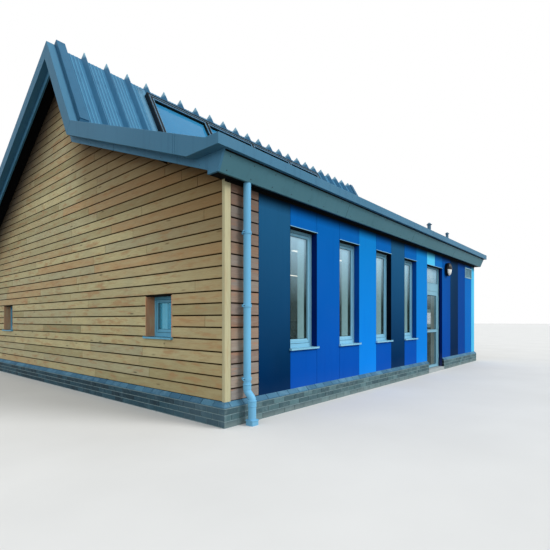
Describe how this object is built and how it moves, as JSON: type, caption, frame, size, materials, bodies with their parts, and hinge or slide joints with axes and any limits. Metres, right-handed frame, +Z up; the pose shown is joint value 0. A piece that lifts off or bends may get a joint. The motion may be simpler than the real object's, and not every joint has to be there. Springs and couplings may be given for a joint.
{
  "type": "single-storey school classroom building",
  "caption": "Single-storey classroom building: split-pitch ribbed metal roof with rooflights, boarded gables, blue panelled front, brick plinth and a hinged glazed door.",
  "frame": {"origin": "middle of the plan at ground level, on the underside of the floor slab", "axes": "+X along the building to the far gable, +Y from the panelled entrance front to the rear, +Z up"},
  "size_m": [11.32, 9.86, 6.5955],
  "materials": {
    "concrete": "floated",
    "brick": "smooth blue-grey engineering brick",
    "lining": "painted plasterboard",
    "navy_panel": "satin laminate",
    "royal_panel": "satin laminate",
    "bright_panel": "satin laminate",
    "mid_panel": "satin laminate",
    "cyan_panel": "satin laminate",
    "timber": "unfinished softwood boards",
    "post_timber": "planed softwood",
    "roof_board": "dark stained boarding",
    "roof_metal": "satin blue-grey coating",
    "fascia_metal": "satin blue-grey coating",
    "soffit_metal": "dark satin coating",
    "rooflight_metal": "anthracite coating",
    "glass": "clear",
    "window_metal": "pale grey coating",
    "gable_window_metal": "blue-grey coating",
    "door_metal": "pale grey coating",
    "steel": "brushed",
    "pipe_metal": "pale blue-grey coating",
    "light_body": "black",
    "light_lens": "opal",
    "vent_metal": "grey coating"
  },
  "bodies": {
    "building": {"bright_panels": "bright_panel", "corner_posts": "post_timber", "cyan_panels": "cyan_panel", "door_frame": "door_metal", "downpipes": "pipe_metal", "eaves_fascias": "fascia_metal", "eaves_soffits": "soffit_metal", "eaves_trims": "fascia_metal", "fanlight_glass": "glass", "floor_slab": "concrete", "front_wall_head": "lining", "front_wall_left": "lining", "front_wall_right": "lining", "gable_walls": "lining", "gable_window_frames": "gable_window_metal", "gable_window_sills": "gable_window_metal", "louvre_vent": "vent_metal", "low_roof_deck": "roof_board", "low_roof_sheet": "roof_metal", "mid_panels": "mid_panel", "navy_panels": "navy_panel", "pipe_brackets": "pipe_metal", "plinth_front": "brick", "plinth_gables": "brick", "plinth_rear": "brick", "rear_roof_deck": "roof_board", "rear_roof_sheet": "roof_metal", "rear_wall": "lining", "roof_vents": "vent_metal", "rooflight_frame": "rooflight_metal", "rooflight_glass": "glass", "rooflight_trimmers": "roof_board", "royal_panels": "royal_panel", "steep_roof_deck": "roof_board", "steep_roof_sheet": "roof_metal", "threshold": "concrete", "timber_gables": "timber", "timber_returns": "timber", "verge_boards": "fascia_metal", "verge_boxes": "fascia_metal", "verge_caps": "fascia_metal", "wall_light_body": "light_body", "wall_light_lens": "light_lens", "window_frames": "window_metal", "window_glass": "glass", "window_sills": "window_metal"},
    "front_door": {"door_leaf": "door_metal", "door_glass": "glass", "door_handle": "steel"}
  },
  "joints": [
    {"name": "front_door_hinge", "type": "hinge", "parent": "building", "child": "front_door", "pos_m": [2.2646, -4.571, 1], "axis": [0, 0, 1], "range_deg": [0, 90]}
  ]
}
